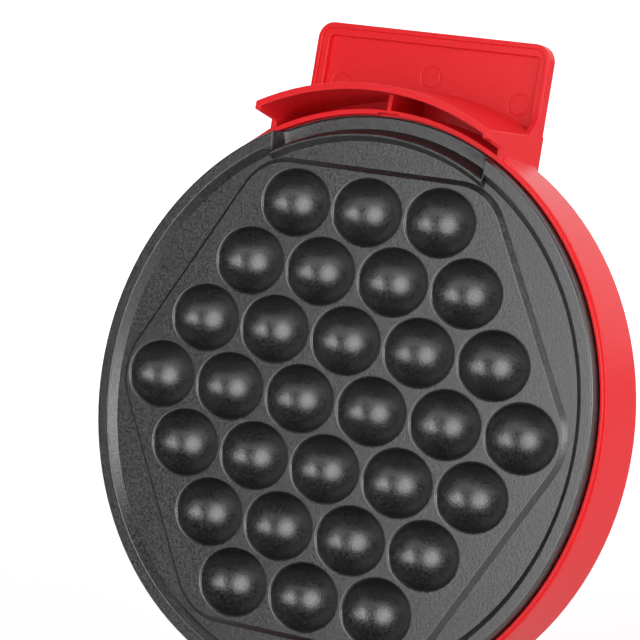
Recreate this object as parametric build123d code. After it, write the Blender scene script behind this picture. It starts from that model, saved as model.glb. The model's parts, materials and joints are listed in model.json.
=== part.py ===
from build123d import *
import math
import os

# Countertop cooker for small egg-shaped cake balls, shown with its hinged lid open.
# World frame: +Z up, the front and its handle face -Y, the hinge is at the rear.
# Both halves are first built in a half frame: x along the cup rows, y towards the
# handle, z out of the cooking face, with z = 0 on the plateau that holds the cups.

# Cooking plate
plate_radius = 108.3
plate_floor = 2.8
hex_apothem = plate_radius - 21.8
hex_corner_radius = 21.4
plateau_height = 1.85
flange_rise = 0.85
flange_step_top_radius = plate_radius - 4.9
flange_step_foot_radius = flange_step_top_radius - plateau_height - flange_rise
plate_skirt_thickness = 2.8
plate_skirt_depth = 6.0
notch_half_width = 47.0
notch_depth = 5.3
notch_foot_radius = plate_radius - 10.0
notch_ridge_inner_radius = plate_radius - 8.2
notch_ridge_outer_radius = plate_radius - 6.9
notch_floor_radius = plate_radius - 5.0
notch_end_draft = 2.4
notch_pad_margin = 2.0
notch_pad_depth = notch_depth + 2.2

# Cup pattern: as many rows, and as many cups in the middle row, as the hexagon holds
cup_pitch = 32.0
row_pitch = 24.0
cup_half_length = 14.7
cup_half_width = 12.5
cup_wall = 1.8
cup_edge_margin = 1.9
cup_corner_margin = 5.0
hex_corner_reach = hex_apothem / math.cos(math.radians(30))
rows_each_side = int((hex_apothem - cup_edge_margin - cup_half_width) / row_pitch)
middle_row_gaps = int(2 * (hex_corner_reach - cup_corner_margin - cup_half_length) / cup_pitch)

# Tubular heating element and its seat
element_ring_radius = 58.0
element_tube_radius = 3.3
element_land_width = 12.0
element_bump_clearance = 0.2
element_lead_x = 9.0
element_lead_bend = 10.0
element_lead_end = hex_apothem - 0.5
bead_radius = 2.9
bead_length = 5.0
terminal_radius = 1.2
terminal_length = 8.0

# Reflector below the element
reflector_radius = plate_radius - 28.3
reflector_thickness = 0.8
reflector_rim_height = 5.0
reflector_gap = 0.3
reflector_boss_radius = 5.0

# Screws that hold the plates
plate_screw_circle = plate_radius - 13.8
plate_screw_angles = (30, 150, 210, 330)
plate_boss_radius = 4.5
screw_radius = 1.7
screw_grip = 10.0
screw_head_radius = 3.3
screw_head_height = 2.2
screw_hole_clearance = 0.15
screw_floor = 4.6

# Shell walls shared by base and lid
plate_clearance = 0.4
lip_inner_radius = plate_radius + plate_clearance
lip_wall = 1.3
lip_outer_radius = lip_inner_radius + lip_wall
lip_step = 0.7
shell_radius = lip_outer_radius + lip_step
shell_wall = 3.0
shell_draft = 0.4
lip_depth = 3.5
wall_depth = 5.0

# Lid shell
lid_depth = 31.0
lid_skin = 2.4
lid_back_radius = shell_radius - shell_draft
lid_edge_radius = 2.5
lid_crown = 1.2
lip_cut_half_width = 4.5

# Handle tray, skirt and the pocket between skirt and rim
handle_half_width = 51.4
skirt_rise = 8.5
skirt_wall = 2.6
pocket_depth = 5.6
skirt_outer_radius = shell_radius + pocket_depth + skirt_wall
skirt_root_radius = skirt_outer_radius + 2.2
skirt_end_lean = 2.6
pocket_side_wall = 2.5
pocket_rib = 2.0
handle_length = 22.1
handle_reach = skirt_root_radius + handle_length
handle_corner_radius = 6.5
handle_rim_depth = lid_depth - 5.4
handle_floor_depth = lid_depth - 2.4
handle_rim_width = 2.0
handle_step_width = 2.7
handle_step_depth = 0.9
handle_edge = 0.8
gusset_reach = 9.4
gusset_height = 6.4
cheek_front = 8.8
cheek_back = 1.2
cheek_rise = 1.2
mark_radius = 4.4
mark_width = 0.5
mark_depth = 0.3
mark_circle = skirt_root_radius + 5.5
mark_angles = (90.0, 71.8, 108.2)

# Base shell and its bottom cover
foot_height = 4.0
mating_height = 50.0
mating_gap = 0.3
base_bottom_radius = 10.0
post_wall = 2.0
post_height = 12.0
base_flange_height = 5.0
cover_thickness = 2.4
cover_radius = shell_radius - base_bottom_radius - 2.9
cover_clearance = 0.2
cover_ledge = 3.8
cover_screw_circle = cover_radius - 8.8
cover_screw_angles = (50, 130, 238, 302)
cover_post_radius = 4.0
cover_post_height = 12.0
cover_bridge_width = 6.0
cover_bridge_height = 5.0
cover_screw_radius = 1.5
cover_screw_length = 10.0
cover_screw_head = 3.0
cover_screw_cone = 1.7
web_thickness = 2.4
web_height = 16.0
vent_width = 3.0
vent_length = 24.0
vent_circle = 58.0
vent_count = 12
vent_first_angle = 15.0

# Hinge
open_angle = 107.0
hinge_offset = 7.3
hinge_y = shell_radius + hinge_offset
hinge_pin_radius = 2.0
hinge_running_clearance = 0.05
hinge_side_clearance = 0.3
lug_width = 9.4
lug_eye_radius = 6.5
lug_web_height = 18.0
lug_web_start = 4.2
lug_root = 12.0
ear_width = 7.0
ear_radius = 7.0
ear_inner_x = 19.0
housing_rear = hinge_y + ear_radius
housing_wall = 2.6
housing_corner_radius = 6.0
housing_eye_gap = 0.8
stop_half_width = 14.0
stop_front = housing_rear + 1.5
stop_rear = stop_front + 4.5
stop_gap = 0.3
stop_rib = 4.0
window_half_width = 30.0
window_bottom = 12.0
window_height = 26.0
pin_grip = 6.0

# Feet
foot_radius = 7.5
foot_stem_radius = 3.0
foot_barb_radius = 4.0
foot_barb_height = 1.6
foot_edge = 0.8
foot_front_circle = cover_radius - 7.9
foot_front_angle = 315.0
foot_rear_x = 29.0
foot_rear_y = hinge_y - 6.0

# Screw caps, lamps and lenses in the lid
cap_radius = 3.8
cap_height = 2.2
lamp_x = 12.0
lamp_y = reflector_radius + 6.0
lens_radius = 4.0
lens_edge = 0.7
lamp_radius = 2.5
lamp_length = 11.0
lamp_sleeve_wall = 1.2
lamp_sleeve_height = 9.0

# Thermostat, thermal fuses and wiring block
sensor_x = 22.0
sensor_y = -hex_apothem - 6.5
thermostat_radius = 7.5
thermostat_height = 8.0
thermostat_neck_radius = 4.5
thermostat_neck_height = 4.0
pad_height = 3.0
tab_width = 6.3
tab_thickness = 0.8
tab_length = 8.0
tab_spacing = 7.0
fuse_radius = 2.2
fuse_length = 12.0
fuse_clip_width = 6.0
fuse_clip_thickness = 0.8
block_length = 30.0
block_width = 14.0
block_height = 12.0
block_y = cover_radius - 17.8
block_ways = 3
block_screw_radius = 1.8
block_screw_depth = 4.0
block_wire_hole = 3.4

# Cord gland in the rear of the hinge housing
gland_x = 27.0
gland_z = 17.0
gland_bore = 3.6
gland_body = 5.5
gland_flange = 8.0
gland_flange_thickness = 2.4
gland_nose = 5.0
gland_nut_apothem = 7.5
gland_nut_thickness = 3.0

# Heights and depths that follow from the sizes above
cup_bottom = cup_half_width + cup_wall
land_depth = cup_bottom + element_bump_clearance + element_tube_radius
reflector_depth = land_depth + element_tube_radius + reflector_gap
plate_underside = plateau_height + plate_floor
lower_plate_z = mating_height - mating_gap / 2 - flange_rise
upper_plate_z = mating_height + mating_gap / 2 + flange_rise
hinge_z = upper_plate_z
shell_inner_radius = shell_radius - shell_wall
lid_inner_depth = lid_depth - lid_skin
pocket_inner_half = handle_half_width - pocket_side_wall
cover_top = foot_height + cover_thickness
cover_recess = cover_radius + cover_clearance
base_wall_top = lower_plate_z - wall_depth
base_lip_top = lower_plate_z - lip_depth
plate_seat_z = lower_plate_z - plate_skirt_depth
housing_top = hinge_z - max(lug_eye_radius, ear_radius) - housing_eye_gap
lug_centre_x = ear_inner_x + ear_width + hinge_side_clearance + lug_width / 2
ear_outer_x = lug_centre_x + lug_width / 2 + hinge_side_clearance
housing_half_width = ear_outer_x + ear_width
housing_inner_half = housing_half_width - housing_wall
pin_start = ear_inner_x + ear_width - pin_grip
housing_inner_rear = housing_rear - housing_wall


def disc(radius, bottom, top, x=0.0, y=0.0):
    return Pos(x, y, bottom) * extrude(Circle(radius), amount=top - bottom)


def block(x0, x1, y0, y1, z0, z1):
    face = Pos((x0 + x1) / 2, (y0 + y1) / 2, z0) * Rectangle(x1 - x0, y1 - y0)
    return extrude(face, amount=z1 - z0)


def turned(points):
    profile = make_face(Plane.XZ * Polyline(*points, close=True))
    return revolve(profile, axis=Axis.Z)


def side_profile(points, x0, x1):
    profile = make_face(Plane.YZ.offset(x0) * Polyline(*points, close=True))
    return extrude(profile, amount=x1 - x0, dir=(1, 0, 0))


def polar(radius, angle):
    turn = math.radians(angle)
    return radius * math.cos(turn), radius * math.sin(turn)


def to_base(shape):
    return Pos(0, 0, lower_plate_z) * Rot(0, 0, 180) * shape


def to_closed_lid(shape):
    return Pos(0, 0, upper_plate_z) * Rot(180, 0, 0) * shape


def to_lid(shape):
    hinge = Axis((0, hinge_y, hinge_z), (1, 0, 0))
    return to_closed_lid(shape).rotate(hinge, -open_angle)


def cup_centres():
    centres = []
    for row in range(rows_each_side, -rows_each_side - 1, -1):
        gaps = middle_row_gaps - abs(row)
        for place in range(gaps + 1):
            centres.append(((place - gaps / 2) * cup_pitch, row * row_pitch))
    return centres


def egg(half_length, half_width):
    arc = EllipticalCenterArc((0, 0), half_length, half_width, 0, arc_size=180)
    profile = make_face(arc + Line((-half_length, 0), (half_length, 0)))
    return revolve(profile, axis=Axis((0, 0, 0), (-1, 0, 0)), revolution_arc=180)


def rounded_hexagon(apothem, corner_radius):
    corners = RegularPolygon(apothem, 6, major_radius=False, rotation=0)
    return fillet(corners.vertices(), corner_radius)


def cooking_plate():
    top = flange_rise
    low = -plateau_height
    dish = turned([
        (0, -plate_underside), (0, low), (flange_step_foot_radius, low),
        (flange_step_top_radius, top), (plate_radius, top),
        (plate_radius, -plate_skirt_depth), (plate_radius - plate_skirt_thickness, -plate_skirt_depth),
        (plate_radius - plate_skirt_thickness, -plate_underside)])
    foot = rounded_hexagon(hex_apothem + plateau_height, hex_corner_radius + plateau_height)
    crest = rounded_hexagon(hex_apothem, hex_corner_radius)
    plateau = loft([Pos(0, 0, low) * foot, crest])
    bump = egg(cup_half_length + cup_wall, cup_half_width + cup_wall)
    bump = bump & block(-cup_pitch, cup_pitch, -cup_pitch, cup_pitch, -cup_pitch, low - plate_floor / 2)
    land = turned([
        (element_ring_radius - element_land_width / 2, low - plate_floor / 2),
        (element_ring_radius + element_land_width / 2, low - plate_floor / 2),
        (element_ring_radius + element_land_width / 2, -land_depth),
        (element_ring_radius - element_land_width / 2, -land_depth)])
    plate = dish + plateau + land + notch_pad()
    plate += disc(reflector_boss_radius, -reflector_depth, low)
    for angle in plate_screw_angles:
        x, y = polar(plate_screw_circle, angle)
        plate += disc(plate_boss_radius, -land_depth, low - plate_floor / 2, x, y)
    plate += [Pos(x, y, 0) * bump for x, y in cup_centres()]
    plate = plate + notch_ridge() - notch_floor()
    hollow = egg(cup_half_length, cup_half_width)
    plate -= [Pos(x, y, 0) * hollow for x, y in cup_centres()]
    plate -= heating_element()
    for angle in plate_screw_angles:
        x, y = polar(plate_screw_circle, angle)
        plate -= disc(screw_radius, -land_depth, screw_grip - land_depth, x, y)
    plate -= disc(screw_radius, -reflector_depth, screw_grip - reflector_depth)
    return plate


def notch_window(shape, half_width):
    reach = plate_radius + cup_pitch
    return shape & block(-half_width, half_width, 0, reach, -land_depth, land_depth)


def notch_pad():
    rim = plate_radius - notch_pad_margin / 2
    pad = turned([
        (notch_ridge_inner_radius, -notch_pad_depth), (rim, -notch_pad_depth),
        (rim, -notch_depth), (plate_radius - plate_skirt_thickness, -plateau_height),
        (notch_ridge_inner_radius, -plateau_height)])
    return notch_window(pad, notch_half_width + notch_pad_margin)


def notch_ridge():
    ridge = turned([
        (notch_foot_radius, -plateau_height), (notch_ridge_inner_radius, flange_rise),
        (flange_step_top_radius, flange_rise), (flange_step_top_radius, -plateau_height)])
    return notch_window(ridge, notch_half_width)


def notch_floor():
    recess = turned([
        (notch_ridge_outer_radius, flange_rise), (notch_floor_radius, -notch_depth),
        (plate_radius + 1, -notch_depth), (plate_radius + 1, flange_rise)])
    reach = plate_radius + cup_pitch
    floor_half = notch_half_width - notch_end_draft
    trough = [(-floor_half, -notch_depth), (floor_half, -notch_depth),
              (notch_half_width, flange_rise), (-notch_half_width, flange_rise)]
    face = make_face(Plane.XZ * Polyline(*trough, close=True))
    return recess & extrude(face, amount=-reach)


def element_path():
    reach = element_ring_radius + element_lead_bend
    centre_x = element_lead_x + element_lead_bend
    centre_y = -math.sqrt(reach ** 2 - centre_x ** 2)
    turn = math.degrees(math.atan2(centre_y, centre_x))
    ring = CenterArc((0, 0), element_ring_radius, turn, 180 - 2 * turn)
    right_bend = CenterArc((centre_x, centre_y), element_lead_bend, 180, turn)
    left_bend = CenterArc((-centre_x, centre_y), element_lead_bend, 0, -turn)
    right_lead = Line((element_lead_x, -element_lead_end), (element_lead_x, centre_y))
    left_lead = Line((-element_lead_x, centre_y), (-element_lead_x, -element_lead_end))
    return right_lead, right_bend, ring, left_bend, left_lead


def heating_element():
    tube = None
    for piece in element_path():
        start = Plane(origin=piece @ 0, z_dir=piece % 0)
        run = sweep(start * Circle(element_tube_radius), path=piece)
        tube = run if tube is None else tube + run
    return Pos(0, 0, -land_depth) * tube


def end_pieces(radius, start, length):
    pieces = []
    for side in (-1, 1):
        face = Plane(origin=(side * element_lead_x, -start, -land_depth), z_dir=(0, -1, 0)) * Circle(radius)
        pieces.append(extrude(face, amount=length))
    return pieces


def reflector():
    inner = reflector_radius - reflector_rim_height
    sheet = turned([
        (0, -reflector_depth - reflector_thickness), (0, -reflector_depth),
        (inner, -reflector_depth), (reflector_radius, reflector_rim_height - reflector_depth),
        (reflector_radius + reflector_thickness, reflector_rim_height - reflector_depth),
        (inner + reflector_thickness / 2, -reflector_depth - reflector_thickness)])
    sheet -= disc(screw_radius + screw_hole_clearance, -reflector_depth - reflector_thickness,
                  -reflector_depth)
    side = element_lead_x + element_tube_radius + reflector_gap
    rim = reflector_rim_height + reflector_thickness
    sheet -= block(-side, side, -reflector_radius - rim, rim - reflector_radius,
                   -reflector_depth, rim - reflector_depth)
    return sheet


def pan_screw(head_z, length, x=0.0, y=0.0):
    shank = disc(screw_radius, head_z, head_z + length, x, y)
    head = disc(screw_head_radius, head_z - screw_head_height, head_z, x, y)
    rim = head.edges().sort_by(Axis.Z)[0]
    return shank + chamfer(rim, screw_head_height / 3)


def reflector_screw():
    return pan_screw(-reflector_depth - reflector_thickness, screw_grip - 1 + reflector_thickness)


def plate_screws():
    head_z = -land_depth - screw_floor
    screws = []
    for angle in plate_screw_angles:
        x, y = polar(plate_screw_circle, angle)
        screws.append(pan_screw(head_z, screw_floor + screw_grip - 1, x, y))
    return screws


def fuse_pieces():
    x, y = sensor_x, sensor_y
    top = -plate_underside
    centre_z = top - fuse_radius
    body = Plane(origin=(x - fuse_length / 2, y, centre_z), z_dir=(1, 0, 0)) * Circle(fuse_radius)
    fuse = extrude(body, amount=fuse_length)
    half = fuse_clip_width / 2
    outer = fuse_radius + fuse_clip_thickness
    clip = block(x - half, x + half, y - outer, y + outer, centre_z - outer, top)
    clip -= fuse
    clip -= block(x - half, x + half, y - fuse_radius, y + fuse_radius, centre_z, top)
    ears = block(x - half, x + half, y - 2 * outer, y + 2 * outer, top - fuse_clip_thickness, top)
    ears -= block(x - half, x + half, y - outer, y + outer, top - fuse_clip_thickness, top)
    return fuse, clip + ears


def thermostat():
    x, y = -sensor_x, sensor_y
    top = -plate_underside
    cup = disc(thermostat_radius, top - pad_height, top, x, y)
    body = disc(thermostat_radius - 1, top - pad_height - thermostat_height, top - pad_height, x, y)
    neck_top = top - pad_height - thermostat_height
    body += disc(thermostat_neck_radius, neck_top - thermostat_neck_height, neck_top, x, y)
    for side in (-1, 1):
        tab_x = x + side * tab_spacing / 2
        tab = block(tab_x - tab_thickness / 2, tab_x + tab_thickness / 2,
                    y - tab_width / 2, y + tab_width / 2, neck_top - tab_length, neck_top)
        body += tab
    return cup, body


def shell_posts_lid():
    posts = None
    for angle in plate_screw_angles:
        x, y = polar(plate_screw_circle, angle)
        post = disc(cap_radius + post_wall, -lid_inner_depth - 1, -land_depth, x, y)
        posts = post if posts is None else posts + post
    return posts


def lid_bowl():
    edge = lid_edge_radius
    back = -lid_depth
    outline = Polyline(
        (lip_outer_radius, -wall_depth), (lip_outer_radius, -lip_depth),
        (lip_inner_radius, -lip_depth), (lip_inner_radius, -plate_skirt_depth),
        (shell_inner_radius, -plate_skirt_depth), (shell_inner_radius - shell_draft, -lid_inner_depth),
        (0, -lid_inner_depth - lid_crown), (0, back - lid_crown))
    crown = ThreePointArc((0, back - lid_crown), (lid_back_radius / 2, back - lid_crown * 0.75),
                          (lid_back_radius - edge, back))
    corner = RadiusArc((lid_back_radius - edge, back), (lid_back_radius, back + edge), edge)
    wall = Polyline((lid_back_radius, back + edge), (shell_radius, -wall_depth),
                    (lip_outer_radius, -wall_depth))
    profile = make_face(Plane.XZ * (outline + crown + corner + wall))
    return revolve(profile, axis=Axis.Z)


def skirt_block():
    body = turned([
        (lip_inner_radius, -lid_depth), (skirt_root_radius, -lid_depth),
        (skirt_outer_radius, skirt_rise), (lip_inner_radius, skirt_rise)])
    reach = skirt_root_radius
    body = body & block(-handle_half_width, handle_half_width, 0, reach, -lid_depth, skirt_rise)
    inner = skirt_outer_radius - skirt_wall
    body -= turned([
        (shell_radius, -lid_inner_depth), (inner, -lid_inner_depth),
        (inner, skirt_rise), (shell_radius, skirt_rise)]) & block(
            -pocket_inner_half, pocket_inner_half, 0, reach, -lid_inner_depth, skirt_rise)
    over = turned([
        (0, -lip_depth), (inner, -lip_depth), (inner, skirt_rise + 1), (0, skirt_rise + 1)])
    body -= over & block(-pocket_inner_half, pocket_inner_half, 0, reach, -lip_depth, skirt_rise)
    end_y = math.sqrt(inner ** 2 - handle_half_width ** 2)
    lean = [(0, -lip_depth), (end_y - skirt_end_lean, -lip_depth), (end_y, skirt_rise + 1),
            (0, skirt_rise + 1)]
    for side in (-1, 1):
        x0, x1 = sorted((side * pocket_inner_half, side * (handle_half_width + 1)))
        body -= side_profile(lean, x0, x1)
    rib = pocket_rib / 2
    body += block(-rib, rib, shell_radius - 1, inner + 1, -lid_inner_depth - 1, -lip_depth)
    return body


def handle_outline(inset, height_from, height_to):
    half = handle_half_width - inset
    reach = handle_reach - inset
    face = Pos(0, reach / 2, height_from) * Rectangle(2 * half, reach)
    corners = face.vertices().sort_by(Axis.Y)[-2:]
    face = fillet(corners, handle_corner_radius - inset)
    return extrude(face, amount=height_to - height_from)


def handle_tray():
    root = disc(shell_radius, -lid_depth, -handle_rim_depth)
    tray = handle_outline(0, -lid_depth, -handle_rim_depth) - root
    far = tray.faces().sort_by(Axis.Z)[0].edges().filter_by_position(
        Axis.Y, shell_radius + 1, handle_reach + 1)
    tray = chamfer(far, handle_edge)
    keep = turned([
        (0, -lid_depth), (skirt_root_radius, -lid_depth),
        (skirt_root_radius, -handle_rim_depth), (0, -handle_rim_depth)])
    step = handle_outline(handle_rim_width, -handle_rim_depth - handle_step_depth, -handle_rim_depth)
    floor = handle_outline(handle_rim_width + handle_step_width, -handle_floor_depth, -handle_rim_depth)
    tray = tray - (step - keep) - (floor - keep)
    root_y = math.sqrt(skirt_outer_radius ** 2 - handle_half_width ** 2)
    gusset = [(root_y - 1, -handle_rim_depth), (root_y + gusset_reach, -handle_rim_depth),
              (root_y, gusset_height - handle_rim_depth), (root_y - 1, gusset_height - handle_rim_depth)]
    for side in (-1, 1):
        x0, x1 = sorted((side * pocket_inner_half, side * handle_half_width))
        tray += side_profile(gusset, x0, x1)
    for angle in mark_angles:
        x, y = polar(mark_circle, angle)
        ring = disc(mark_radius, -handle_floor_depth - mark_depth, -handle_floor_depth, x, y)
        tray -= ring - disc(mark_radius - mark_width, -lid_depth, 0, x, y)
    return tray


def cheek(side):
    x = side * handle_half_width
    front_y = math.sqrt(shell_radius ** 2 - handle_half_width ** 2)
    back_y = math.sqrt(lid_back_radius ** 2 - handle_half_width ** 2)
    tip_x = handle_half_width + cheek_front
    tip_y = math.sqrt(shell_radius ** 2 - tip_x ** 2)
    end_x = handle_half_width + cheek_back
    end_y = math.sqrt(lid_back_radius ** 2 - end_x ** 2)
    front = Polyline((x - side, front_y - 1), (x - side, front_y + cheek_rise), (x, front_y + cheek_rise),
                     (side * tip_x, tip_y), (side * tip_x - side, tip_y - 1), close=True)
    back = Polyline((x - side, back_y - 1), (x - side, back_y + 1), (x, back_y + 1),
                    (side * end_x, end_y), (side * end_x - side, end_y - 1), close=True)
    return loft([Pos(0, 0, -wall_depth) * make_face(front),
                 Pos(0, 0, lid_edge_radius - lid_depth) * make_face(back)], ruled=True)


def hinge_lug(side):
    web_top = -lug_web_start - lug_web_height
    profile = [
        (-shell_inner_radius + lug_root, -lug_web_start), (-shell_inner_radius + lug_root, web_top),
        (-shell_radius, web_top), (-hinge_y - lug_eye_radius * 0.9, -lug_eye_radius * 0.4),
        (-hinge_y, 0), (-hinge_y + lug_eye_radius * 0.9, -lug_eye_radius * 0.4),
        (-shell_radius, -lug_web_start)]
    x0 = side * lug_centre_x - lug_width / 2
    lug = side_profile(profile, x0, x0 + lug_width)
    eye = Plane(origin=(x0, -hinge_y, 0), z_dir=(1, 0, 0)) * Circle(lug_eye_radius)
    lug += extrude(eye, amount=lug_width)
    return lug - disc(shell_inner_radius + 1, -lid_depth, lug_eye_radius)


def hinge_bore(radius):
    bore = Plane(origin=(-housing_half_width, -hinge_y, 0), z_dir=(1, 0, 0)) * Circle(radius)
    return extrude(bore, amount=2 * housing_half_width)


def lid_shell():
    shell = lid_bowl() + skirt_block() + handle_tray() + cheek(-1) + cheek(1)
    shell -= turned([
        (0, -lid_inner_depth), (shell_inner_radius - shell_draft, -lid_inner_depth),
        (shell_inner_radius, -plate_skirt_depth), (0, -plate_skirt_depth)])
    shell -= block(-lip_cut_half_width, lip_cut_half_width, 0, (lip_inner_radius + lip_outer_radius) / 2,
                   -plate_skirt_depth, 0)
    shell += shell_posts_lid()
    for angle in plate_screw_angles:
        x, y = polar(plate_screw_circle, angle)
        shell -= disc(cap_radius, -lid_depth - lid_crown, -land_depth - screw_floor, x, y)
        shell -= disc(screw_radius + screw_hole_clearance, -lid_depth, -land_depth, x, y)
    for side in (-1, 1):
        x = side * lamp_x
        sleeve_top = lamp_sleeve_height - lid_inner_depth
        shell += disc(lens_radius + lamp_sleeve_wall, -lid_inner_depth - 1, sleeve_top, x, lamp_y)
        shell -= disc(lens_radius, -lid_depth - lid_crown, -lid_inner_depth, x, lamp_y)
        shell -= disc(lamp_radius, -lid_inner_depth, sleeve_top, x, lamp_y)
        shell += hinge_lug(side)
    shell -= hinge_bore(hinge_pin_radius + hinge_running_clearance)
    return shell


def screw_caps():
    caps = []
    for angle in plate_screw_angles:
        x, y = polar(plate_screw_circle, angle)
        caps.append(disc(cap_radius, -lid_depth, cap_height - lid_depth, x, y))
    return caps


def lens(side):
    plug = disc(lens_radius, -lid_depth - lid_crown, -lid_inner_depth, side * lamp_x, lamp_y)
    return chamfer(plug.edges().sort_by(Axis.Z)[0], lens_edge)


def lamps():
    top = lamp_length - lid_inner_depth
    return [disc(lamp_radius, -lid_inner_depth, top, side * lamp_x, lamp_y) for side in (-1, 1)]


def base_bowl():
    curve_x = shell_radius - base_bottom_radius
    curve_z = foot_height + base_bottom_radius
    flange_top = foot_height + base_flange_height
    ledge = cover_radius - cover_ledge
    inner_corner = base_bottom_radius - shell_wall
    curve = RadiusArc((shell_radius, curve_z), (curve_x, foot_height), base_bottom_radius)
    outline = Polyline(
        (curve_x, foot_height), (cover_recess, foot_height), (cover_recess, cover_top),
        (ledge, cover_top), (ledge, flange_top), (shell_inner_radius - inner_corner, flange_top),
        (shell_inner_radius, flange_top + inner_corner), (shell_inner_radius, plate_seat_z),
        (lip_inner_radius, plate_seat_z), (lip_inner_radius, base_lip_top),
        (lip_outer_radius, base_lip_top), (lip_outer_radius, base_wall_top),
        (shell_radius, base_wall_top), (shell_radius, curve_z))
    return revolve(make_face(Plane.XZ * (curve + outline)), axis=Axis.Z)


def housing_plan(half, rear, bottom, top, corner):
    face = Pos(0, rear / 2, bottom) * Rectangle(2 * half, rear)
    face = fillet(face.vertices().sort_by(Axis.Y)[-2:], corner)
    return extrude(face, amount=top - bottom)


def hinge_ear(inner_x, width):
    web = [(hinge_y - ear_radius, housing_top - 1), (hinge_y + ear_radius, housing_top - 1),
           (hinge_y + ear_radius, hinge_z), (hinge_y - ear_radius, hinge_z)]
    ear = side_profile(web, inner_x, inner_x + width)
    eye = Plane(origin=(inner_x, hinge_y, hinge_z), z_dir=(1, 0, 0)) * Circle(ear_radius)
    return ear + extrude(eye, amount=width)


def stop_line(y):
    lean = math.radians(open_angle)
    wall_offset = hinge_y - shell_radius
    start_y = -wall_offset * math.cos(lean)
    start_z = wall_offset * math.sin(lean)
    return hinge_z + start_z + (y - hinge_y - start_y) / math.tan(lean) - stop_gap / math.sin(lean)


def lid_stop():
    profile = [
        (housing_inner_rear, foot_height), (housing_rear, foot_height), (stop_rear, housing_top / 2),
        (stop_rear, stop_line(stop_rear)), (stop_front, stop_line(stop_front)),
        (stop_front, housing_top), (housing_inner_rear, housing_top)]
    stop = side_profile(profile, stop_half_width - stop_rib, stop_half_width)
    stop += side_profile(profile, -stop_half_width, stop_rib - stop_half_width)
    return stop + side_profile(
        [(stop_front, housing_top / 2), (stop_rear, housing_top / 2), (stop_rear, stop_line(stop_rear)),
         (stop_front, stop_line(stop_front))], -stop_half_width, stop_half_width)


def base_shell():
    shell = base_bowl()
    hole = disc(shell_inner_radius, foot_height - 1, plate_seat_z)
    shell += housing_plan(housing_half_width, housing_rear, foot_height, housing_top,
                          housing_corner_radius) - disc(lip_outer_radius, 0, housing_top)
    room = housing_plan(housing_inner_half, housing_inner_rear, foot_height, housing_top - housing_wall,
                        housing_corner_radius - housing_wall)
    shell -= room - disc(shell_radius, 0, housing_top)
    tail_slot = block(-housing_inner_half, housing_inner_half, 0, shell_radius, foot_height, cover_top)
    shell -= tail_slot
    window_top = window_bottom + window_height
    shell -= block(-window_half_width, window_half_width, 0, shell_radius + 1, window_bottom, window_top)
    for angle in plate_screw_angles:
        shell += Rot(0, 0, angle) * (post_web() & hole)
    for angle in cover_screw_angles:
        x, y = polar(cover_screw_circle, angle)
        bridge = block(0, cover_recess - cover_screw_circle, -cover_bridge_width / 2, cover_bridge_width / 2,
                       cover_top, cover_top + cover_bridge_height)
        shell += Pos(x, y, 0) * Rot(0, 0, angle) * bridge
        shell += disc(cover_post_radius, cover_top, cover_top + cover_post_height, x, y)
        shell -= disc(cover_screw_radius, cover_top, foot_height + cover_screw_length, x, y)
    for side in (-1, 1):
        inner = side * (ear_inner_x + ear_width / 2) - ear_width / 2
        outer = side * (ear_outer_x + ear_width / 2) - ear_width / 2
        shell += hinge_ear(inner, ear_width)
        shell += hinge_ear(outer, ear_width)
        shell -= hinge_pin(side)
    shell += lid_stop()
    bore = Plane(origin=(gland_x, housing_inner_rear, gland_z), z_dir=(0, 1, 0)) * Circle(gland_body)
    return shell - extrude(bore, amount=housing_wall)


def post_web():
    top = lower_plate_z - land_depth
    head_z = top - screw_floor
    web = block(plate_screw_circle, shell_radius - 1, -web_thickness / 2, web_thickness / 2,
                top - web_height, top)
    post = disc(cap_radius + post_wall, top - post_height, top, plate_screw_circle)
    web = web + post - disc(cap_radius, top - post_height, head_z, plate_screw_circle)
    return web - disc(screw_radius + screw_hole_clearance, head_z, top, plate_screw_circle)


def hinge_pin(side):
    start = min(side * pin_start, side * housing_half_width)
    face = Plane(origin=(start, hinge_y, hinge_z), z_dir=(1, 0, 0)) * Circle(hinge_pin_radius)
    return extrude(face, amount=housing_half_width - pin_start)


def bottom_cover():
    cover = disc(cover_radius, foot_height, cover_top)
    cover += housing_plan(housing_inner_half - cover_clearance, housing_inner_rear - cover_clearance,
                          foot_height, cover_top, housing_corner_radius - housing_wall)
    for place in range(vent_count):
        angle = vent_first_angle + place * 360 / vent_count
        slot = Pos(vent_circle, 0, foot_height) * extrude(
            SlotOverall(vent_length, vent_width), amount=cover_thickness)
        cover -= Rot(0, 0, angle) * slot
    for screw in cover_screws():
        cover -= screw
    for foot in rubber_feet():
        cover -= foot
    return cover


def cover_screws():
    screws = []
    for angle in cover_screw_angles:
        x, y = polar(cover_screw_circle, angle)
        shank = disc(cover_screw_radius, foot_height, foot_height + cover_screw_length, x, y)
        cone = turned([(0, foot_height), (cover_screw_head, foot_height),
                       (cover_screw_radius, foot_height + cover_screw_cone),
                       (0, foot_height + cover_screw_cone)])
        screws.append(shank + Pos(x, y, 0) * cone)
    return screws


def rubber_feet():
    feet = []
    for x, y in (polar(foot_front_circle, foot_front_angle), (foot_rear_x, foot_rear_y)):
        for side in (-1, 1):
            pad = disc(foot_radius, 0, foot_height, side * x, y)
            pad = chamfer(pad.edges().sort_by(Axis.Z)[0], foot_edge)
            pad += disc(foot_stem_radius, foot_height, cover_top, side * x, y)
            feet.append(pad + disc(foot_barb_radius, cover_top, cover_top + foot_barb_height, side * x, y))
    return feet


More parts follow.
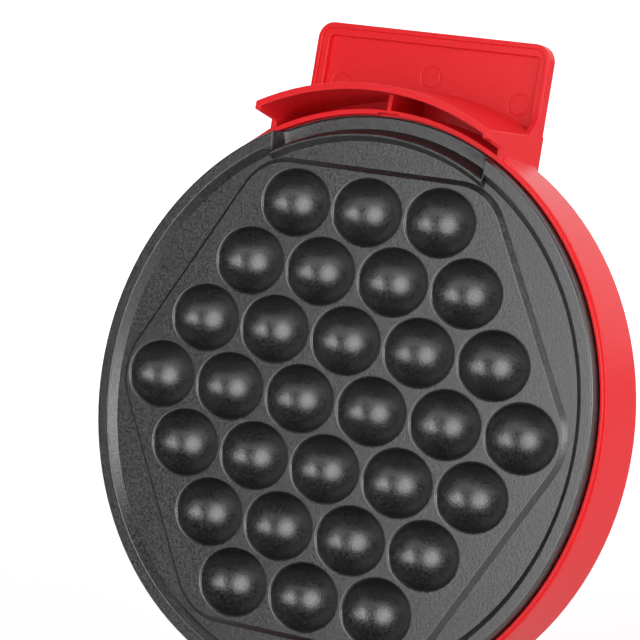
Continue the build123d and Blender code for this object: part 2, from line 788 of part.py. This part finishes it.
def terminal_block():
    body = block(-block_length / 2, block_length / 2, block_y - block_width / 2, block_y + block_width / 2,
                 cover_top, cover_top + block_height)
    pitch = block_length / block_ways
    top = cover_top + block_height
    for way in range(block_ways):
        x = (way - (block_ways - 1) / 2) * pitch
        body -= disc(block_screw_radius, top - block_screw_depth, top, x, block_y)
        body -= block(x - block_wire_hole / 2, x + block_wire_hole / 2, block_y - block_width / 2,
                      block_y + block_width / 2, cover_top + block_wire_hole,
                      cover_top + 2 * block_wire_hole)
    return body


def cord_gland():
    inner = housing_inner_rear - gland_nut_thickness
    outer = housing_rear + gland_flange_thickness + gland_nose
    axis = Plane(origin=(gland_x, inner, gland_z), z_dir=(0, 1, 0))
    gland = extrude(axis * Circle(gland_body), amount=outer - inner)
    gland += extrude(axis * RegularPolygon(gland_nut_apothem, 6, major_radius=False),
                     amount=gland_nut_thickness)
    flange = Plane(origin=(gland_x, housing_rear, gland_z), z_dir=(0, 1, 0)) * Circle(gland_flange)
    gland += extrude(flange, amount=gland_flange_thickness)
    return gland - extrude(axis * Circle(gland_bore), amount=outer - inner)


def build_nodes():
    plate = cooking_plate()
    element = heating_element()
    beads = end_pieces(bead_radius, element_lead_end, bead_length)
    terminals = end_pieces(terminal_radius, element_lead_end + bead_length, terminal_length)
    fuse, clip = fuse_pieces()
    cup, thermostat_body = thermostat()
    base = {
        "lower_cooking_plate": [plate],
        "lower_plate_screws": plate_screws(),
        "lower_heating_element": [element],
        "lower_element_beads": beads,
        "lower_element_terminals": terminals,
        "lower_reflector": [reflector()],
        "lower_reflector_screw": [reflector_screw()],
        "thermostat_cup": [cup],
        "thermostat": [thermostat_body],
        "lower_thermal_fuse": [fuse],
        "lower_fuse_clip": [clip]}
    lid = {
        "lid_shell": [lid_shell()],
        "upper_cooking_plate": [plate],
        "upper_plate_screws": plate_screws(),
        "screw_caps": screw_caps(),
        "upper_heating_element": [element],
        "upper_element_beads": beads,
        "upper_element_terminals": terminals,
        "upper_reflector": [reflector()],
        "upper_reflector_screw": [reflector_screw()],
        "upper_thermal_fuse": [fuse],
        "upper_fuse_clip": [clip],
        "power_lens": [lens(-1)],
        "ready_lens": [lens(1)],
        "indicator_lamps": lamps()}
    nodes = {
        "base_shell": [base_shell()],
        "bottom_cover": [bottom_cover()],
        "rubber_feet": rubber_feet(),
        "cover_screws": cover_screws(),
        "hinge_pins": [hinge_pin(-1), hinge_pin(1)],
        "terminal_block": [terminal_block()],
        "cord_gland": [cord_gland()]}
    nodes.update({name: [to_base(piece) for piece in pieces] for name, pieces in base.items()})
    nodes.update({name: [to_lid(piece) for piece in pieces] for name, pieces in lid.items()})
    return nodes


def export_nodes(nodes):
    front = nodes["base_shell"][0].bounding_box().min.Y
    rear = nodes["lid_shell"][0].bounding_box().max.Y
    centre = Pos(0, -(front + rear) / 2, 0)
    os.makedirs("parts", exist_ok=True)
    for name, pieces in nodes.items():
        placed = [centre * piece for piece in pieces]
        shape = placed[0] if len(placed) == 1 else Compound(children=placed)
        export_step(shape, f"parts/{name}.step")


export_nodes(build_nodes())
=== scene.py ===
import json
import math
import bmesh
import bpy
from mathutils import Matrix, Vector


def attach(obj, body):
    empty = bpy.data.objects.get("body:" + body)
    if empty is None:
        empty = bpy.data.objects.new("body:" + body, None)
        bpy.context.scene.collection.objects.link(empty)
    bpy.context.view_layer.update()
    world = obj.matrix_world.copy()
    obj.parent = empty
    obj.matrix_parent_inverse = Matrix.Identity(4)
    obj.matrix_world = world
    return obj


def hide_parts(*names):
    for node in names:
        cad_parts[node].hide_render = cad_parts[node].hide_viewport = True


# Countertop cooker with its lid open: finishes, rounded edges, light and camera.
# Metres, +Z up, the front and its handle face -Y.

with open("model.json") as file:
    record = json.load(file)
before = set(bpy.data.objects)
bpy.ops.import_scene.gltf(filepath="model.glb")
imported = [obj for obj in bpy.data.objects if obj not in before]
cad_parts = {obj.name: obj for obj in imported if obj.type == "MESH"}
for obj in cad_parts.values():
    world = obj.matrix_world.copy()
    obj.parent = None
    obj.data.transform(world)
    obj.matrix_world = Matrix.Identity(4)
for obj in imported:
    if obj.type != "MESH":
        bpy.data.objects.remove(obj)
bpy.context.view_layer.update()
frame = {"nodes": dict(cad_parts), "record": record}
nodes = frame["nodes"]
body_of_node = {
    name: body for body, members in frame["record"]["behaviour"]["bodies"].items() for name in members
}
slot_of_node = {row["node"]: row["material_slot"] for row in frame["record"]["subparts"]}

# Joining the CAD's triangles, and telling flat, curved, sloped and square edges apart
weld_distance = 0.000002
sliver_width = 0.00001
flat_angle = math.radians(0.04)
crease_angle = math.radians(30)
square_angle = math.radians(70)

# The shallow dome of the lid's back
dome_direction = Vector((0.0, 0.9563, -0.2924))
dome_spread = math.radians(12)

# The cups of both plates: oval bowls, with the mean radius of their rims
cup_plates = ("upper_cooking_plate", "lower_cooking_plate")
cup_depth = 0.0125
cup_radius = 0.0136
cup_rim_round = 0.0009
cup_rim_lengths = (0.080, 0.091)
cup_rim_rings = 4
cup_bowl_rings = 14
cup_bottom_weld = 0.0001
cup_wall_lean = 0.5

# The rounds of each node's square edges and of its sloped ones
round_segments = 3
edge_rounds = {
    "upper_cooking_plate": (0.0009, 0.0003),
    "lower_cooking_plate": (0.0009, 0.0003),
    "lid_shell": (0.0004, 0.0004),
    "base_shell": (0.0004, 0.0004),
    "bottom_cover": (0.0004, 0.0004),
    "rubber_feet": (0.0005, 0.0005),
    "screw_caps": (0.0003, 0.0003),
}

# Floor and room: how bright they look, and over what distance or direction that changes
floor_half_width = 30.0
floor_color = (0.6, 0.6, 0.6)
floor_roughness = 0.9
floor_fade = (0.25, 1.3)
floor_glow = (0.5, 1.0)
floor_mirrored_glow = 0.05
room_edge = (-0.1, 0.4)
room_glow = (0.05, 1.0)
white = (1.0, 1.0, 1.0, 1.0)

# Softboxes, all aimed at the middle of the lid's plate: direction, distance, width and height, watts
lid_plate_centre = Vector((0.0, 0.096, 0.164))
softboxes = {
    "key_box": ((-0.10, -0.92, 0.37), 1.6, (1.2, 1.6), 16.0),
    "side_box": ((0.77, -0.52, 0.37), 1.9, (0.4, 1.7), 10.0),
    "fill_box": ((0.93, -0.12, 0.35), 1.7, (0.9, 0.9), 9.0),
    "top_box": ((0.1, 0.25, 1.0), 2.0, (1.6, 1.2), 5.0),
}

# Camera, found from the photo's view of the cups, the plate's rim and the handle
camera_sensor_width = 36.0
camera_lens = 195.242
camera_place = (0.695989, -0.922199, 0.5098)
camera_turn = (0.7541062, 0.5857403, 0.1834993, 0.2335813)


def put_in_scene(obj):
    bpy.context.scene.collection.objects.link(obj)
    return obj


# ---- Shader building blocks


def grain_group():
    """Grain from two noises: one value round 0.5 that changes over the surface."""
    group = bpy.data.node_groups.new("fine_grain", "ShaderNodeTree")
    for name in ("Fine", "Coarse", "Blend"):
        group.interface.new_socket(name, in_out="INPUT", socket_type="NodeSocketFloat")
    group.interface.new_socket("Value", in_out="OUTPUT", socket_type="NodeSocketFloat")
    inputs = group.nodes.new("NodeGroupInput")
    outputs = group.nodes.new("NodeGroupOutput")
    place = group.nodes.new("ShaderNodeTexCoord")
    mix = group.nodes.new("ShaderNodeMix")
    mix.data_type = "FLOAT"
    for scale, detail, side in (("Fine", 2.0, "A"), ("Coarse", 4.0, "B")):
        noise = group.nodes.new("ShaderNodeTexNoise")
        noise.inputs["Detail"].default_value = detail
        group.links.new(place.outputs["Object"], noise.inputs["Vector"])
        group.links.new(inputs.outputs[scale], noise.inputs["Scale"])
        group.links.new(noise.outputs["Fac"], mix.inputs[side])
    group.links.new(inputs.outputs["Blend"], mix.inputs["Factor"])
    group.links.new(mix.outputs["Result"], outputs.inputs["Value"])
    return group


def graded(tree, value, span, levels, interpolation="LINEAR"):
    """Takes a value, over its span, from the first level to the second."""
    grade = tree.nodes.new("ShaderNodeMapRange")
    grade.interpolation_type = interpolation
    grade.inputs["From Min"].default_value, grade.inputs["From Max"].default_value = span
    grade.inputs["To Min"].default_value, grade.inputs["To Max"].default_value = levels
    tree.links.new(value, grade.inputs["Value"])
    return grade.outputs["Result"]


def calculated(tree, operation, *values):
    """A maths node fed with sockets and numbers."""
    node = tree.nodes.new("ShaderNodeMath")
    node.operation = operation
    for socket, value in zip(node.inputs, values):
        if isinstance(value, float):
            socket.default_value = value
        else:
            tree.links.new(value, socket)
    return node.outputs["Value"]


def ray_is(tree, *kinds):
    """One where the ray is any of the named kinds, else zero."""
    path = tree.nodes.new("ShaderNodeLightPath")
    found = path.outputs[kinds[0]]
    for kind in kinds[1:]:
        found = calculated(tree, "MAXIMUM", found, path.outputs[kind])
    return found


# ---- Finishes


def new_finish(name, color, roughness, metallic=0.0, coat=0.0):
    material = bpy.data.materials.new(name)
    material.use_nodes = True
    shader = material.node_tree.nodes["Principled BSDF"]
    shader.inputs["Base Color"].default_value = (*color, 1.0)
    shader.inputs["Roughness"].default_value = roughness
    shader.inputs["Metallic"].default_value = metallic
    shader.inputs["Coat Weight"].default_value = coat
    return material, shader


def add_grain(material, fine, coarse, blend):
    grain = material.node_tree.nodes.new("ShaderNodeGroup")
    grain.node_tree = fine_grain
    grain.inputs["Fine"].default_value = fine
    grain.inputs["Coarse"].default_value = coarse
    grain.inputs["Blend"].default_value = blend
    return grain.outputs["Value"]


def tint(material, shader, grain, span, low_color, high_color):
    """The colour changes from one to the other with the grain."""
    ramp = material.node_tree.nodes.new("ShaderNodeValToRGB")
    for stop, position, color in zip(ramp.color_ramp.elements, span, (low_color, high_color)):
        stop.position = position
        stop.color = (*color, 1.0)
    material.node_tree.links.new(grain, ramp.inputs["Fac"])
    material.node_tree.links.new(ramp.outputs["Color"], shader.inputs["Base Color"])


def press_in(material, shader, grain, height, strength):
    """The grain as a shallow relief."""
    bump = material.node_tree.nodes.new("ShaderNodeBump")
    bump.inputs["Strength"].default_value = strength
    bump.inputs["Distance"].default_value = height
    material.node_tree.links.new(grain, bump.inputs["Height"])
    material.node_tree.links.new(bump.outputs["Normal"], shader.inputs["Normal"])


def glossy_red():
    """The red moulded shells, with the slight mottle of moulded plastic."""
    material, shader = new_finish("glossy_red_plastic", (0.79, 0.016, 0.022), 0.3)
    shader.inputs["Specular IOR Level"].default_value = 0.3
    grain = add_grain(material, fine=1400.0, coarse=260.0, blend=0.35)
    tint(material, shader, grain, (0.3, 0.7), (0.76, 0.013, 0.018), (0.82, 0.019, 0.026))
    press_in(material, shader, grain, height=0.00006, strength=0.12)
    return material


def speckled_coat():
    """The black coat of the plates: fine grey speckles that stand out a little and shine less."""
    material, shader = new_finish("speckled_nonstick_coat", (0.02, 0.02, 0.02), 0.3)
    shader.inputs["IOR"].default_value = 1.7
    shader.inputs["Specular IOR Level"].default_value = 0.8
    grain = add_grain(material, fine=1000.0, coarse=2000.0, blend=0.4)
    tint(material, shader, grain, (0.44, 0.66), (0.001, 0.001, 0.001), (0.032, 0.032, 0.033))
    dull = graded(material.node_tree, grain, span=(0.4, 0.6), levels=(0.28, 0.40))
    material.node_tree.links.new(dull, shader.inputs["Roughness"])
    press_in(material, shader, grain, height=0.00016, strength=0.5)
    return material


def fine_finish(name, color, roughness, metallic=0.0, strength=0.12):
    """A small piece's even colour with a fine relief."""
    material, shader = new_finish(name, color, roughness, metallic)
    grain = add_grain(material, fine=1500.0, coarse=300.0, blend=0.4)
    press_in(material, shader, grain, height=0.00004, strength=strength)
    return material


def clear_finish(name, color, clearness):
    """A smooth piece that lets some light through."""
    material, shader = new_finish(name, color, 0.08, coat=0.5)
    shader.inputs["Transmission Weight"].default_value = clearness
    shader.inputs["IOR"].default_value = 1.49
    return material


fine_grain = grain_group()
finishes = {
    "red_plastic": glossy_red(),
    "nonstick_plate": speckled_coat(),
    "black_plastic": fine_finish("black_plastic", (0.028, 0.028, 0.03), 0.5, strength=0.25),
    "foot_rubber": fine_finish("foot_rubber", (0.02, 0.02, 0.02), 0.75, strength=0.2),
    "zinc_steel": fine_finish("zinc_plated_steel", (0.62, 0.62, 0.60), 0.32, metallic=1.0),
    "element_steel": fine_finish("heated_steel", (0.33, 0.31, 0.29), 0.42, metallic=1.0, strength=0.2),
    "bright_aluminium": fine_finish("bright_aluminium", (0.78, 0.78, 0.79), 0.25, metallic=1.0),
    "white_ceramic": fine_finish("white_ceramic", (0.82, 0.80, 0.75), 0.6),
    "white_plastic": fine_finish("white_plastic", (0.78, 0.78, 0.75), 0.5),
    "red_lens": clear_finish("red_lens", (0.62, 0.02, 0.012), clearness=0.15),
    "green_lens": clear_finish("green_lens", (0.03, 0.38, 0.07), clearness=0.15),
    "lamp_glass": clear_finish("lamp_glass", (0.85, 0.80, 0.70), clearness=0.8),
}

# ---- The CAD pieces, merged, with their outer edges rounded


def even_lid_dome(bm):
    """The long thin triangles on the lid's shallow dome, turned so that they follow its curve."""
    bmesh.ops.dissolve_degenerate(bm, dist=sliver_width, edges=bm.edges)
    dome = [f for f in bm.faces if f.normal.angle(dome_direction, math.pi) < dome_spread]
    inside = set(dome)
    inner = [e for e in bm.edges if len(e.link_faces) == 2 and all(f in inside for f in e.link_faces)]
    bmesh.ops.beautify_fill(bm, faces=dome, edges=inner, method="AREA")


def merged_mesh(name):
    """The CAD node's loose triangles joined into one skin, flat areas made single faces."""
    bm = bmesh.new()
    bm.from_mesh(nodes[name].data)
    bmesh.ops.remove_doubles(bm, verts=bm.verts, dist=weld_distance)
    if name == "lid_shell":
        even_lid_dome(bm)
    bmesh.ops.dissolve_limit(
        bm, angle_limit=flat_angle, verts=bm.verts, edges=bm.edges, use_dissolve_boundaries=False)
    return bm


def bend(edge):
    """The angle between an edge's two faces."""
    return edge.calc_face_angle(0.0) if len(edge.link_faces) == 2 else 0.0


def cup_rims(bm):
    """The edge loops round the cups: closed, square, convex and as long as a cup's rim."""
    square = dict.fromkeys(e for e in bm.edges if bend(e) >= square_angle and e.is_convex)
    rims = []
    while square:
        loop = [square.popitem()[0]]
        for edge in loop:
            for other in [e for v in edge.verts for e in v.link_edges]:
                if other in square:
                    del square[other]
                    loop.append(other)
        reached = {v for e in loop for v in e.verts}
        length = sum(e.calc_length() for e in loop)
        if len(reached) == len(loop) and cup_rim_lengths[0] < length < cup_rim_lengths[1]:
            rims.append(loop)
    return rims


def bowl_faces(rim, up):
    """The wall faces inside a rim, found by walking from face to face."""
    walk = list(dict.fromkeys(f for e in rim for f in e.link_faces if f.normal.dot(up) < cup_wall_lean))
    found = set(walk)
    border = set(rim)
    for face in walk:
        for edge in face.edges:
            if edge not in border:
                for other in edge.link_faces:
                    if other not in found:
                        found.add(other)
                        walk.append(other)
    return walk


def cup_rings():
    """Each ring's share of the rim's size and its depth: down the rounded rim, then down the bowl."""
    rings = []
    for step in range(cup_rim_rings + 1):
        turn = math.pi / 2 * step / cup_rim_rings
        outward = cup_rim_round * (1 - math.sin(turn))
        rings.append((1 + outward / cup_radius, cup_rim_round * (1 - math.cos(turn))))
    start = math.asin(cup_rim_round / cup_depth)
    for step in range(1, cup_bowl_rings + 1):
        sweep = start + (math.pi / 2 - start) * step / cup_bowl_rings
        rings.append((math.cos(sweep), cup_depth * math.sin(sweep)))
    return rings


def open_cups(bm):
    """Takes out the bowls. Returns, for each, the direction out of its plate and the edges left round it."""
    bowls = []
    bounds = []
    for rim in cup_rims(bm):
        up = max((f for e in rim for f in e.link_faces), key=lambda f: f.calc_area()).normal.copy()
        bowl = bowl_faces(rim, up)
        bowls += bowl
        bounds.append((up, list(dict.fromkeys(e for f in bowl for e in f.edges))))
    bmesh.ops.delete(bm, geom=bowls, context="FACES")
    return [(up, [e for e in near if e.is_valid and len(e.link_faces) == 1]) for up, near in bounds]


def draw_cups_again(bm):
    """Every cup in even rings, from its rounded rim down to its bottom, in place of the CAD's triangles."""
    edges = []
    spokes = {}
    for up, rim in open_cups(bm):
        places = [v.co for e in rim for v in e.verts]
        middle = Vector([(min(p[i] for p in places) + max(p[i] for p in places)) / 2 for i in range(3)])
        spokes.update({v: (middle, v.co - middle, up) for e in rim for v in e.verts})
        edges += rim
    rings = cup_rings()
    for vert, (middle, spoke, up) in spokes.items():
        vert.co = middle + spoke * rings[0][0]
    for scale, depth in rings[1:]:
        made = bmesh.ops.extrude_edge_only(bm, edges=edges)["geom"]
        fresh = dict.fromkeys(g for g in made if isinstance(g, bmesh.types.BMVert))
        edges = [g for g in made if isinstance(g, bmesh.types.BMEdge) and all(v in fresh for v in g.verts)]
        for vert in fresh:
            above = next(e.other_vert(vert) for e in vert.link_edges if e.other_vert(vert) in spokes)
            fresh[vert] = spokes[above]
            middle, spoke, up = spokes[above]
            vert.co = middle + spoke * scale - up * depth
        spokes = fresh
    bmesh.ops.remove_doubles(bm, verts=list(spokes), dist=cup_bottom_weld)
    bmesh.ops.recalc_face_normals(bm, faces=bm.faces)


def round_over(bm, edges, radius):
    """Rounds the given edges, and leaves the round smooth from side to side."""
    made = bmesh.ops.bevel(
        bm, geom=edges, offset=radius, offset_type="OFFSET", segments=round_segments, profile=0.5,
        affect="EDGES", clamp_overlap=False, material=-1, loop_slide=True)
    for edge in made["edges"]:
        edge.smooth = True


def finished_copy(name, square_round=0.0, slope_round=0.0):
    """A merged copy of a CAD node that stands for it, with its square and its sloped edges rounded."""
    bm = merged_mesh(name)
    if name in cup_plates:
        draw_cups_again(bm)
    for face in bm.faces:
        face.smooth = True
        face.material_index = 0
    for edge in bm.edges:
        edge.smooth = bend(edge) < crease_angle
    for low, high, radius in (
            (square_angle, math.pi, square_round), (crease_angle, square_angle, slope_round)):
        if radius:
            outer = [e for e in bm.edges if not e.smooth and e.is_convex and low <= bend(e) < high]
            round_over(bm, outer, radius)
    mesh = bpy.data.meshes.new(name + "_finished")
    bm.to_mesh(mesh)
    bm.free()
    piece = put_in_scene(bpy.data.objects.new(name + "_finished", mesh))
    even = piece.modifiers.new("even_shading", "WEIGHTED_NORMAL")
    even.keep_sharp = True
    piece.data.materials.append(finishes[slot_of_node[name]])
    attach(piece, body_of_node[name])
    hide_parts(name)


for node_name in nodes:
    finished_copy(node_name, *edge_rounds.get(node_name, (0.0, 0.0)))

# ---- Floor, light and camera


def white_floor():
    """A pale floor that keeps the object's shadow near it and runs out into white further off."""
    mesh = bpy.data.meshes.new("floor")
    bm = bmesh.new()
    bmesh.ops.create_grid(bm, x_segments=1, y_segments=1, size=floor_half_width)
    bm.to_mesh(mesh)
    bm.free()
    floor = put_in_scene(bpy.data.objects.new("floor", mesh))
    material, shader = new_finish("floor_white", floor_color, floor_roughness)
    tree = material.node_tree
    place = tree.nodes.new("ShaderNodeTexCoord")
    reach = tree.nodes.new("ShaderNodeVectorMath")
    reach.operation = "LENGTH"
    tree.links.new(place.outputs["Object"], reach.inputs[0])
    glow = graded(tree, reach.outputs["Value"], floor_fade, floor_glow, "SMOOTHSTEP")
    mirrored = calculated(
        tree, "MULTIPLY", ray_is(tree, "Is Glossy Ray", "Is Transmission Ray"), floor_mirrored_glow)
    seen = calculated(tree, "MULTIPLY_ADD", ray_is(tree, "Is Camera Ray"), glow, mirrored)
    shader.inputs["Emission Color"].default_value = white
    tree.links.new(seen, shader.inputs["Emission Strength"])
    floor.data.materials.append(material)


def studio_world():
    """A white backdrop behind the object, and a dimmer room in front of it."""
    world = bpy.data.worlds.new("studio")
    bpy.context.scene.world = world
    world.use_nodes = True
    tree = world.node_tree
    backdrop = tree.nodes["Background"]
    backdrop.inputs["Color"].default_value = white
    place = tree.nodes.new("ShaderNodeTexCoord")
    split = tree.nodes.new("ShaderNodeSeparateXYZ")
    tree.links.new(place.outputs["Generated"], split.inputs["Vector"])
    behind = graded(tree, split.outputs["Y"], room_edge, room_glow, "SMOOTHSTEP")
    strength = calculated(tree, "MAXIMUM", behind, ray_is(tree, "Is Camera Ray", "Is Transmission Ray"))
    tree.links.new(strength, backdrop.inputs["Strength"])


def softbox(name, direction, distance, size, watts):
    lamp = bpy.data.lights.new(name, "AREA")
    lamp.shape = "ELLIPSE"
    lamp.size, lamp.size_y = size
    lamp.energy = watts
    box = put_in_scene(bpy.data.objects.new(name, lamp))
    aim = Vector(direction).normalized()
    box.location = lid_plate_centre + aim * distance
    box.rotation_mode = "QUATERNION"
    box.rotation_quaternion = aim.to_track_quat("Z", "Y")


white_floor()
studio_world()
for box_name, setting in softboxes.items():
    softbox(box_name, *setting)

camera = put_in_scene(bpy.data.objects.new("camera", bpy.data.cameras.new("camera")))
camera.data.sensor_width = camera_sensor_width
camera.data.lens = camera_lens
camera.location = camera_place
camera.rotation_mode = "QUATERNION"
camera.rotation_quaternion = camera_turn
bpy.context.scene.camera = camera
bpy.context.scene.view_settings.view_transform = "Standard"
